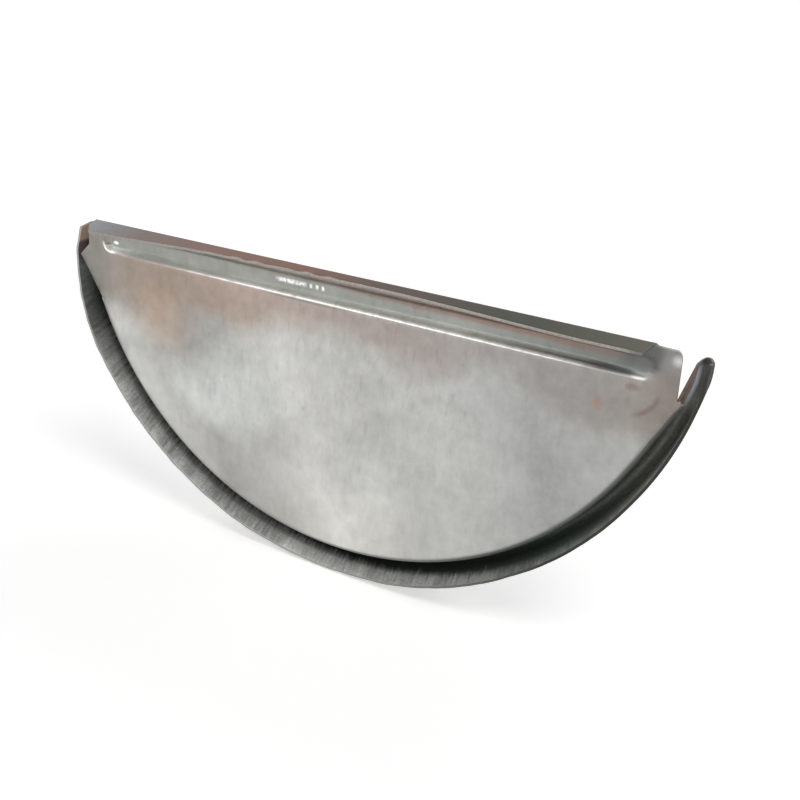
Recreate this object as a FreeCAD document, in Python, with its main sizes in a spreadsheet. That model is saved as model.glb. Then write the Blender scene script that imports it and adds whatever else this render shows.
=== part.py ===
import FreeCAD, Part
import math
import os
import Sketcher

# Half-round gutter end cap, pressed and folded from one galvanised sheet, in millimetres.
# +Z is up and the gutter runs along Y. The gutter's own axis is the Y axis. The face that
# looks into the gutter lies in the plane Y = 0 and faces -Y, and the outer side is +Y.

# Driving dimensions: name, value, what it sets
DIMENSIONS = (
    ("sheet", 0.6, "thickness of the galvanised sheet"),
    ("plate_radius", 75.2, "radius of the pressed plate, at the groove's inner wall"),
    ("rim_bend", 0.4, "inside radius of the bend between plate and groove wall"),
    ("rim_lap", 1.5, "flat margin that the rim shares with the plate"),
    ("groove_width", 3.6, "clear width of the groove that takes the gutter's end"),
    ("groove_depth", 8.4, "depth of the groove's floor behind the plate's inner face"),
    ("lip_rise", 3.3, "how far the outer wall stands in front of the plate's inner face"),
    ("rim_sweep", 172.0, "angle that the rim covers before its ends are trimmed"),
    ("top_drop", 4.85, "top of the cap below the gutter's axis"),
    ("fold_radius", 0.6, "inside radius of the top fold"),
    ("flange_depth", 6.9, "depth of the top flange"),
    ("flange_left_inset", 4.9, "left end of the top flange inside the plate's radius"),
    ("flange_right_inset", 8.0, "right end of the top flange inside the plate's radius"),
    ("snip_side", 3.8, "snipped flange corner, along the fold"),
    ("snip_depth", 4.0, "snipped flange corner, across the flange"),
    ("rib_inset", 6.2, "each end of the pressed rib inside the plate's radius"),
    ("rib_width", 5.4, "width of the rib's mouth"),
    ("rib_drop", 10.0, "middle of the rib below the gutter's axis"),
    ("rib_depth", 1.6, "depth of the rib's hollow"),
    ("rib_lean", 38.0, "lean of the rib's sides in degrees"),
    ("tab_inset", 2.2, "side of the right tab inside the plate's radius"),
    ("tab_drop", 5.5, "top of the right tab below the axis"),
    ("tab_round", 1.6, "rounded corner of the right tab"),
    ("slot_inset", 1.6, "corner at the slot's bottom inside the plate's radius"),
    ("slot_drop", 15.3, "bottom of the right slot below the axis"),
    ("finger_cut", 0.8, "strip of the groove's floor cut away beside the slot"),
    ("finger_root_lap", 0.3, "how far under the slot's bottom the rim's free end begins"),
    ("finger_tip_drop", 5.7, "front corner of the rim's right end below the axis"),
    ("finger_back_drop", 8.7, "back corner of the rim's right end below the axis"),
    ("finger_round", 2.0, "rounding of the rim's front corner on the right"),
    ("ear_root_drop", 25.9, "where the plate's left ear leaves the rim"),
    ("ear_lap", 1.2, "how far the left ear's point reaches over the groove"),
    ("ear_drop", 14.8, "point of the left ear below the axis"),
    ("notch_inset", 1.8, "corner of the left notch inside the plate's radius"),
    ("notch_drop", 11.7, "corner of the left notch below the axis"),
    ("shoulder_inset", 1.9, "upper left corner of the plate inside the plate's radius"),
    ("shoulder_drop", 8.7, "upper left corner of the plate below the axis"),
    ("left_tip_drop", 9.6, "front corner of the rim's left end below the axis"),
    ("left_back_drop", 7.8, "back corner of the rim's left end below the axis"),
    ("left_lip_fall", 5.9, "how far the lip falls back at the rim's left end"),
    ("left_fall_drop", 30.0, "where the lip starts to fall back, below the axis"),
    ("left_mid_drop", 15.8, "where the lip's fall steepens, below the axis"),
    ("left_mid_fall", 3.0, "how far the lip has fallen back there"),
    ("cut_room", 5.0, "room that each cut has past the sheet"),
)

# Two places or volumes nearer than this are the same
TOUCH = 0.001


class Measure:
    """A length or angle as a number and as the sheet formula that gives it."""

    def __init__(self, value, text):
        self.value = value
        self.text = text

    def __add__(self, other):
        return Measure(self.value + other.value, "(%s + %s)" % (self.text, other.text))

    def __sub__(self, other):
        return Measure(self.value - other.value, "(%s - %s)" % (self.text, other.text))

    def __mul__(self, other):
        return Measure(self.value * other.value, "(%s * %s)" % (self.text, other.text))

    def __truediv__(self, other):
        return Measure(self.value / other.value, "(%s / %s)" % (self.text, other.text))

    def __neg__(self):
        return Measure(-self.value, "(-1 * %s)" % self.text)


def cosine(angle):
    """Cosine of an angle in degrees."""
    return Measure(math.cos(math.radians(angle.value)), "cos(%s)" % angle.text)


def across(radius, drop):
    """Distance from the axis, level with a drop, of a circle about the axis."""
    square = radius * radius - drop * drop
    return Measure(math.sqrt(square.value), "sqrt(%s)" % square.text)


doc = FreeCAD.newDocument("gutter_end_cap")
sizes = doc.addObject("Spreadsheet::Sheet", "sizes")
for row, (name, value, note) in enumerate(DIMENSIONS, start=1):
    sizes.set("A%d" % row, name)
    sizes.set("B%d" % row, str(value))
    sizes.set("C%d" % row, note)
    sizes.setAlias("B%d" % row, name)
doc.recompute()

size = {name: Measure(value, "sizes." + name) for name, value, _ in DIMENSIONS}
zero = Measure(0.0, "0")
two = Measure(2.0, "2")

body = doc.addObject("PartDesign::Body", "end_cap")
body.Label = "end_cap"


def new_sketch(name, role):
    """An empty sketch on the body's origin plane with the given role."""
    sketch = body.newObject("Sketcher::SketchObject", name)
    plane = next(part for part in body.Origin.OriginFeatures if part.Role == role)
    sketch.AttachmentSupport = [(plane, "")]
    sketch.MapMode = "FlatFace"
    doc.recompute()
    return sketch


def bind(sketch, kind, curve, end, measure):
    """Ties one coordinate of a point of a curve to a measure."""
    constraint = Sketcher.Constraint(kind, -1, 1, curve, end, measure.value)
    number = sketch.addConstraint(constraint)
    sketch.setExpression("Constraints[%d]" % number, measure.text)


def draw(sketch, corners, arcs=None):
    """Draws a closed outline, with every corner tied to its two measures.

    corners holds (across, up) pairs. arcs maps a corner's number to the centre of the arc
    that runs from it to the next corner, and to True where that arc turns to the left.
    """
    arcs = arcs or {}
    count = len(corners)
    points = [FreeCAD.Vector(x.value, y.value, 0) for x, y in corners]
    curves = []
    for index in range(count):
        start, end = points[index], points[(index + 1) % count]
        if index not in arcs:
            curves.append((sketch.addGeometry(Part.LineSegment(start, end), False), 1, 2))
            continue
        centre_x, centre_y, leftward = arcs[index]
        centre = FreeCAD.Vector(centre_x.value, centre_y.value, 0)
        first, last = (start, end) if leftward else (end, start)
        circle = Part.Circle(centre, FreeCAD.Vector(0, 0, 1), (start - centre).Length)
        from_angle = math.atan2(first.y - centre.y, first.x - centre.x)
        to_angle = math.atan2(last.y - centre.y, last.x - centre.x)
        if to_angle <= from_angle:
            to_angle += 2.0 * math.pi
        curve = sketch.addGeometry(Part.ArcOfCircle(circle, from_angle, to_angle), False)
        curves.append((curve, 1, 2) if leftward else (curve, 2, 1))
    for index in range(count):
        curve, start_end, far_end = curves[index]
        following, next_start, _ = curves[(index + 1) % count]
        sketch.addConstraint(Sketcher.Constraint("Coincident", curve, far_end, following, next_start))
        bind(sketch, "DistanceX", curve, start_end, corners[index][0])
        bind(sketch, "DistanceY", curve, start_end, corners[index][1])
        if index in arcs:
            chord = points[(index + 1) % count] - points[index]
            if abs(chord.y) >= abs(chord.x):
                bind(sketch, "DistanceX", curve, 3, arcs[index][0])
            else:
                bind(sketch, "DistanceY", curve, 3, arcs[index][1])
    doc.recompute()


def add_feature(kind, name, sketch):
    """A feature of the body on a sketch, with the volume before it."""
    before = body.Shape.Volume if body.Tip else 0.0
    feature = body.newObject(kind, name)
    feature.Profile = sketch
    return feature, before


def settle(feature, before):
    """Recomputes and stops if a feature changed nothing."""
    doc.recompute()
    if abs(body.Shape.Volume - before) < TOUCH:
        raise RuntimeError("%s changed nothing" % feature.Name)


# Rim: plate margin, bend, inner wall, round floor and outer wall, turned about the axis
sheet = size["sheet"]
flat_radius = size["plate_radius"] - sheet - size["rim_bend"]
bend_depth = sheet + size["rim_bend"]
half_groove = size["groove_width"] / two
floor_centre = size["groove_depth"] - half_groove
groove_middle = size["plate_radius"] + half_groove
outer_wall = size["plate_radius"] + size["groove_width"]

rim_profile = new_sketch("rim_profile", "YZ_Plane")
draw(
    rim_profile,
    [
        (zero, -(flat_radius - size["rim_lap"])),
        (zero, -flat_radius),
        (bend_depth, -size["plate_radius"]),
        (floor_centre, -size["plate_radius"]),
        (floor_centre, -outer_wall),
        (-size["lip_rise"], -outer_wall),
        (-size["lip_rise"], -(outer_wall + sheet)),
        (floor_centre, -(outer_wall + sheet)),
        (floor_centre, -(size["plate_radius"] - sheet)),
        (bend_depth, -(size["plate_radius"] - sheet)),
        (sheet, -flat_radius),
        (sheet, -(flat_radius - size["rim_lap"])),
    ],
    {
        1: (bend_depth, -flat_radius, True),
        3: (floor_centre, -groove_middle, False),
        7: (floor_centre, -groove_middle, True),
        9: (bend_depth, -flat_radius, False),
    },
)
rim, before = add_feature("PartDesign::Revolution", "rim", rim_profile)
rim.ReferenceAxis = (rim_profile, ["H_Axis"])
rim.Midplane = True
rim.setExpression("Angle", size["rim_sweep"].text)
settle(rim, before)

# Free ends of the rim: the plate and the inner wall are cut away there
free_radius = size["plate_radius"] + size["finger_cut"]
finger_root = size["slot_drop"] + size["finger_root_lap"]
inner_reach = size["plate_radius"] / two
for name, root_drop, side in (
    ("right_relief", finger_root, Measure(1.0, "1")),
    ("left_relief", size["ear_root_drop"], Measure(-1.0, "-1")),
):
    relief_sketch = new_sketch(name + "_sketch", "XZ_Plane")
    draw(
        relief_sketch,
        [
            (side * inner_reach, -root_drop),
            (side * across(free_radius, root_drop), -root_drop),
            (side * free_radius, zero),
            (side * inner_reach, zero),
        ],
        {1: (zero, zero, side.value > 0)},
    )
    relief, before = add_feature("PartDesign::Pocket", name, relief_sketch)
    relief.Type = "ThroughAll"
    relief.Midplane = True
    settle(relief, before)

# Right end of the rim, cut at a slant with its front corner rounded
back = size["groove_depth"] + sheet
front_room = -(size["lip_rise"] + size["cut_room"])
finger_end = new_sketch("finger_end_sketch", "YZ_Plane")
rounding_depth = size["finger_round"] - size["lip_rise"]
rounding_drop = size["finger_tip_drop"] + size["finger_round"]
draw(
    finger_end,
    [
        (front_room, -rounding_drop),
        (-size["lip_rise"], -rounding_drop),
        (rounding_depth, -size["finger_tip_drop"]),
        (back, -size["finger_back_drop"]),
        (back + size["cut_room"], -size["finger_back_drop"]),
        (back + size["cut_room"], size["cut_room"]),
        (front_room, size["cut_room"]),
    ],
    {1: (rounding_depth, -rounding_drop, False)},
)
right_trim, before = add_feature("PartDesign::Pocket", "right_trim", finger_end)
right_trim.Type = "ThroughAll"
right_trim.Reversed = True
settle(right_trim, before)

# Left end of the rim, where the lip falls back towards the groove
left_end = new_sketch("left_end_sketch", "YZ_Plane")
fallen_lip = size["left_lip_fall"] - size["lip_rise"]
draw(
    left_end,
    [
        (front_room, -size["left_fall_drop"]),
        (-size["lip_rise"], -size["left_fall_drop"]),
        (size["left_mid_fall"] - size["lip_rise"], -size["left_mid_drop"]),
        (fallen_lip, -size["left_tip_drop"]),
        (back, -size["left_back_drop"]),
        (back + size["cut_room"], -size["left_back_drop"]),
        (back + size["cut_room"], size["cut_room"]),
        (front_room, size["cut_room"]),
    ],
)
left_trim, before = add_feature("PartDesign::Pocket", "left_trim", left_end)
left_trim.Type = "ThroughAll"
settle(left_trim, before)

# Plate: half disc with the right tab and slot, and the left notch and pointed ear
under_fold = size["top_drop"] + sheet + size["fold_radius"]
flange_left = size["plate_radius"] - size["flange_left_inset"]
flange_right = size["plate_radius"] - size["flange_right_inset"]
tab_reach = size["plate_radius"] - size["tab_inset"]
plate_outline = new_sketch("plate_outline", "XZ_Plane")
tab_side = tab_reach - size["tab_round"]
tab_side_drop = size["tab_drop"] + size["tab_round"]
draw(
    plate_outline,
    [
        (across(flat_radius, finger_root), -finger_root),
        (across(size["plate_radius"], finger_root), -finger_root),
        (size["plate_radius"] - size["slot_inset"], -size["slot_drop"]),
        (tab_reach, -tab_side_drop),
        (tab_side, -size["tab_drop"]),
        (flange_right, -size["tab_drop"]),
        (flange_right, -under_fold),
        (-flange_left, -under_fold),
        (size["shoulder_inset"] - size["plate_radius"], -size["shoulder_drop"]),
        (size["notch_inset"] - size["plate_radius"], -size["notch_drop"]),
        (-(size["plate_radius"] + size["ear_lap"]), -size["ear_drop"]),
        (-across(size["plate_radius"], size["ear_root_drop"]), -size["ear_root_drop"]),
        (-across(flat_radius, size["ear_root_drop"]), -size["ear_root_drop"]),
    ],
    {
        3: (tab_side, -tab_side_drop, True),
        12: (zero, zero, True),
    },
)
plate, before = add_feature("PartDesign::Pad", "plate", plate_outline)
plate.Reversed = True
plate.setExpression("Length", sheet.text)
settle(plate, before)

# Top flange, folded over towards the gutter
fold_profile = new_sketch("fold_profile", "YZ_Plane")
fold_front = -size["fold_radius"]
draw(
    fold_profile,
    [
        (zero, -(under_fold + sheet)),
        (sheet, -(under_fold + sheet)),
        (sheet, -under_fold),
        (fold_front, -size["top_drop"]),
        (-size["flange_depth"], -size["top_drop"]),
        (-size["flange_depth"], -(size["top_drop"] + sheet)),
        (fold_front, -(size["top_drop"] + sheet)),
        (zero, -under_fold),
    ],
    {
        2: (fold_front, -under_fold, True),
        6: (fold_front, -under_fold, False),
    },
)
flange, before = add_feature("PartDesign::Pad", "flange", fold_profile)
flange.SideType = "Two sides"
flange.setExpression("Length", flange_right.text)
flange.setExpression("Length2", flange_left.text)
settle(flange, before)

# Snipped corner of the flange on the left
snip_sketch = new_sketch("snip_sketch", "XY_Plane")
snip_start = size["flange_depth"] - size["snip_depth"]
snip_room = -(flange_left + size["cut_room"])
draw(
    snip_sketch,
    [
        (snip_room, -snip_start),
        (snip_room, -(size["flange_depth"] + size["cut_room"])),
        (size["snip_side"] - flange_left, -(size["flange_depth"] + size["cut_room"])),
        (size["snip_side"] - flange_left, -size["flange_depth"]),
        (-flange_left, -snip_start),
    ],
)
snip, before = add_feature("PartDesign::Pocket", "snip", snip_sketch)
snip.setExpression("Length", under_fold.text)
settle(snip, before)


def rib_outline(name, half_width):
    """A long round-ended outline on the plate, centred on the rib."""
    sketch = new_sketch(name, "XZ_Plane")
    end = size["plate_radius"] - size["rib_inset"] - size["rib_width"] / two
    low = -(size["rib_drop"] + half_width)
    high = half_width - size["rib_drop"]
    draw(
        sketch,
        [(-end, low), (end, low), (end, high), (-end, high)],
        {1: (end, -size["rib_drop"], True), 3: (-end, -size["rib_drop"], True)},
    )
    return sketch


# Stiffening rib, pressed outwards: a leaning crest behind and a hollow of one sheet less
half_rib = size["rib_width"] / two
crest_outline = rib_outline("crest_outline", half_rib + sheet / cosine(size["rib_lean"]))
crest, before = add_feature("PartDesign::Pad", "crest", crest_outline)
crest.Reversed = True
crest.setExpression("Length", (size["rib_depth"] + sheet).text)
crest.setExpression("TaperAngle", (-size["rib_lean"]).text)
settle(crest, before)

hollow_outline = rib_outline("hollow_outline", half_rib)
hollow, before = add_feature("PartDesign::Pocket", "hollow", hollow_outline)
hollow.setExpression("Length", size["rib_depth"].text)
hollow.setExpression("TaperAngle", (-size["rib_lean"]).text)
settle(hollow, before)

# Every object must have been built, and the body must be one valid solid
doc.recompute()
for item in doc.Objects:
    if "Invalid" in item.State or "Error" in item.State:
        raise RuntimeError("%s failed: %s" % (item.Name, item.State))
if body.Shape.isNull() or not body.Shape.isValid() or len(body.Shape.Solids) != 1:
    raise RuntimeError("the cap is not one valid solid")

os.makedirs("parts", exist_ok=True)
body.Shape.exportStep("parts/%s.step" % body.Label)
extent = body.Shape.optimalBoundingBox(False, False)
print("volume %.1f mm3" % body.Shape.Volume)
print("box X %.2f to %.2f" % (extent.XMin, extent.XMax))
print("box Y %.2f to %.2f" % (extent.YMin, extent.YMax))
print("box Z %.2f to %.2f" % (extent.ZMin, extent.ZMax))
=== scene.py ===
import math
from collections import namedtuple

import bmesh
import bpy
import numpy as np
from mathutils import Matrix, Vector, geometry, noise


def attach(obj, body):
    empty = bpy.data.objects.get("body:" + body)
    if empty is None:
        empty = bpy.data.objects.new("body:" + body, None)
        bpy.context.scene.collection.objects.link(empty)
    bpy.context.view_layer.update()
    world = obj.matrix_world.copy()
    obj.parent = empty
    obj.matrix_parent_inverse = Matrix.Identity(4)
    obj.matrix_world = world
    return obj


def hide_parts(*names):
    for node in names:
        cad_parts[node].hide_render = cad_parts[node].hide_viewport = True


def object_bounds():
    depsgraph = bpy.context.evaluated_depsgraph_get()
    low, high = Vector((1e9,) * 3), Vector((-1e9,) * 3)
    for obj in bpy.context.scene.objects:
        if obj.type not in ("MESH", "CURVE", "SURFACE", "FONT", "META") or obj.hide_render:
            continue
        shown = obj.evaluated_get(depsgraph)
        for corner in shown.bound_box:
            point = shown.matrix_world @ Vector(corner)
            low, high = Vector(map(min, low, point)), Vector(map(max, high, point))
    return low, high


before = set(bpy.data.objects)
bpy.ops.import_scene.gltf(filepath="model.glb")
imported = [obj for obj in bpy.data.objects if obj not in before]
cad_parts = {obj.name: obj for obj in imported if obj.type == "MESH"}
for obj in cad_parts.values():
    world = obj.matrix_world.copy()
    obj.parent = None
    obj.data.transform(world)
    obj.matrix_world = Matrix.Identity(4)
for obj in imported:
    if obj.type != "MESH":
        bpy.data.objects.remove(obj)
cad_low, cad_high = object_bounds()

# Sizes of the folded sheet in millimetres, as in the CAD part
MM = 0.001
SHEET = 0.6
PLATE_RADIUS = 75.2
RIM_BEND = 0.4
GROOVE_WIDTH = 3.6
GROOVE_DEPTH = 8.4
LIP_RISE = 3.3
TOP_DROP = 4.85
FOLD_RADIUS = 0.6
FLANGE_DEPTH = 6.9
RIB_END = 69.0
RIB_HALF = 2.7
RIB_DROP = 10.0
RIB_DEPTH = 1.6
RIB_LEAN = 38.0

FLAT_RADIUS = PLATE_RADIUS - SHEET - RIM_BEND
UNDER_FOLD = TOP_DROP + SHEET + FOLD_RADIUS

# The rib is pressed less deep towards the slot, over this stretch of x
FADE_START = 57.0
FADE_END = 68.0
RIB_FADE = 0.55
# Share of the rib's sloping side that its rounded corners take up
RIB_SOFT = 0.30

# Lengths along the rim's section, from the plate's edge to the lip
BEND_RUN = (SHEET + RIM_BEND) * math.pi / 2.0
FLOOR_RADIUS = GROOVE_WIDTH / 2.0
WALL_RUN = GROOVE_DEPTH - FLOOR_RADIUS - SHEET - RIM_BEND
FLOOR_RUN = FLOOR_RADIUS * math.pi
OUTER_RUN = GROOVE_DEPTH - FLOOR_RADIUS + LIP_RISE
SECTION_RUN = BEND_RUN + WALL_RUN + FLOOR_RUN + OUTER_RUN
WALL_END = BEND_RUN + WALL_RUN
FLOOR_END = WALL_END + FLOOR_RUN

# Lengths along the flange's section, from the start of the fold to the raw edge
FOLD_RUN = FOLD_RADIUS * math.pi / 2.0
FLANGE_RUN = FOLD_RUN + FLANGE_DEPTH - FOLD_RADIUS


# Node building


# Most of a noise lies between these two values
NOISE_LOW = 0.3
NOISE_HIGH = 0.7


class Graph:
    """Adds nodes to one tree and links what it is given."""

    def __init__(self, tree):
        self.tree = tree

    def node(self, kind, inputs=None, **settings):
        made = self.tree.nodes.new(kind)
        for name, value in settings.items():
            setattr(made, name, value)
        for socket, value in (inputs or {}).items():
            self.feed(made.inputs[socket], value)
        return made

    def feed(self, socket, value):
        """Links another node's socket, or sets a plain value; colours have three shares."""
        if isinstance(value, bpy.types.NodeSocket):
            self.tree.links.new(value, socket)
        elif socket.type == "RGBA":
            socket.default_value = (*value, 1.0)
        else:
            socket.default_value = value

    def math(self, operation, first, second=0.0):
        made = self.node("ShaderNodeMath", operation=operation)
        self.feed(made.inputs[0], first)
        self.feed(made.inputs[1], second)
        return made.outputs[0]

    def chain(self, operation, values):
        result = values[0]
        for value in values[1:]:
            result = self.math(operation, result, value)
        return result

    def add(self, *values):
        return self.chain("ADD", values)

    def times(self, *values):
        return self.chain("MULTIPLY", values)

    def most(self, *values):
        return self.chain("MAXIMUM", values)

    def take(self, first, second):
        return self.math("SUBTRACT", first, second)

    def remap(self, value, low, high, to_low=0.0, to_high=1.0, smooth=False):
        made = self.node("ShaderNodeMapRange", interpolation_type="SMOOTHSTEP" if smooth else "LINEAR")
        for socket, item in zip(made.inputs, (value, low, high, to_low, to_high)):
            self.feed(socket, item)
        return made.outputs[0]

    def band(self, value, start, full, still_full, end, smooth=False):
        """One from full to still_full, falling to nought at start and at end."""
        rising = self.remap(value, start, full, smooth=smooth)
        return self.times(rising, self.remap(value, end, still_full, smooth=smooth))

    def spread(self, value, low, high):
        """A noise spread over the range from low to high."""
        return self.remap(value, NOISE_LOW, NOISE_HIGH, low, high)

    def blend(self, share, first, second, mode="MIX"):
        made = self.node("ShaderNodeMix", data_type="RGBA", blend_type=mode)
        self.feed(made.inputs[0], share)
        self.feed(made.inputs[6], first)
        self.feed(made.inputs[7], second)
        return made.outputs[2]

    def toned(self, base, tone):
        """The colour made lighter or darker by a tone about one."""
        grey = self.node("ShaderNodeCombineColor", {0: tone, 1: tone, 2: tone})
        return self.blend(1.0, base, grey.outputs[0], "MULTIPLY")

    def point(self, x, y, z):
        return self.node("ShaderNodeCombineXYZ", {0: x, 1: y, 2: z}).outputs[0]

    def scaled(self, vector, factor):
        made = self.node("ShaderNodeVectorMath", {0: vector, 1: (factor,) * 3}, operation="MULTIPLY")
        return made.outputs[0]

    def distance(self, first, second):
        made = self.node("ShaderNodeVectorMath", {0: first, 1: second}, operation="DISTANCE")
        return made.outputs["Value"]


# Rim: the groove's section swept round the plate by Geometry Nodes


def curve_node(graph, value, points):
    """A float curve through the points, each inside 0 to 1."""
    made = graph.node("ShaderNodeFloatCurve", {"Value": value})
    line = made.mapping.curves[0]
    line.points[0].location = points[0]
    line.points[1].location = points[-1]
    for place in points[1:-1]:
        line.points.new(*place)
    for point in line.points:
        point.handle_type = "VECTOR"
    made.mapping.update()
    return made.outputs[0]


# Heights of the rim's cut ends below the axis are kept as shares of this one
TRIM_SPAN = 40.0


def trim(stops):
    """A cut end's stops, given as run and height, as shares of the section and TRIM_SPAN."""
    return [(run / SECTION_RUN, height / TRIM_SPAN) for run, height in stops]


# The rim's cut ends along its section, from the plate's edge to the lip
RIGHT_TRIM = trim([
    (0.0, 15.6),
    (BEND_RUN, 15.9),
    (WALL_END, 18.4),
    (WALL_END + 0.21 * FLOOR_RUN, 18.6),
    (WALL_END + 0.28 * FLOOR_RUN, 10.1),
    (WALL_END + 0.40 * FLOOR_RUN, 8.7),
    (WALL_END + 0.50 * FLOOR_RUN, 8.3),
    (WALL_END + 0.60 * FLOOR_RUN, 8.3),
    (WALL_END + 0.80 * FLOOR_RUN, 8.9),
    (FLOOR_END, 9.0),
    (FLOOR_END + 2.0, 8.3),
    (SECTION_RUN - 5.9, 7.4),
    (SECTION_RUN - 3.4, 6.6),
    (SECTION_RUN - 1.6, 6.3),
    (SECTION_RUN - 0.7, 6.8),
    (SECTION_RUN, 7.8),
])
LEFT_TRIM = trim([
    (0.0, 25.9),
    (BEND_RUN, 24.9),
    (WALL_END, 9.5),
    (FLOOR_END, 8.0),
    (SECTION_RUN, 9.7),
])
# How far the lip falls back towards the groove, along the rim from its left end
LIP_FALL = [(0.0, 1.0), (0.0215, 0.52), (0.046, 0.35), (0.0705, 0.18), (0.094, 0.08), (0.12, 0.0), (1.0, 0.0)]
# How far the plate's edge was pushed out near the slot, over PUSH_SPAN in degrees below level
PUSH_SPAN = (10.0, 30.0)
SLOT_PUSH = [
    (0.0, 1.0), (0.115, 0.95), (0.165, 0.72), (0.24, 0.50),
    (0.38, 0.25), (0.47, 0.10), (0.75, 0.0), (1.0, 0.0),
]
# The lip's line over FLAT_SPAN in degrees below level: a half is round, more lies further out
FLAT_SPAN = (20.0, 140.0)
LIP_FLATS = [
    (0.0, 0.58), (0.083, 0.62), (0.19, 0.84), (0.29, 0.88), (0.37, 0.96), (0.475, 0.84),
    (0.53, 0.38), (0.625, 0.18), (0.75, 0.36), (0.90, 0.20), (1.0, 0.42),
]
ROUND_LINE = 0.5
# The lip is drawn in by DRAWN_IN over these degrees at the left end
DRAWN_SPAN = (161.0, 167.0)
DRAWN_IN = 0.3
# The finger leans inwards over these degrees, from its root to its tip
LEAN_SPAN = (9.5, 5.5)


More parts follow.
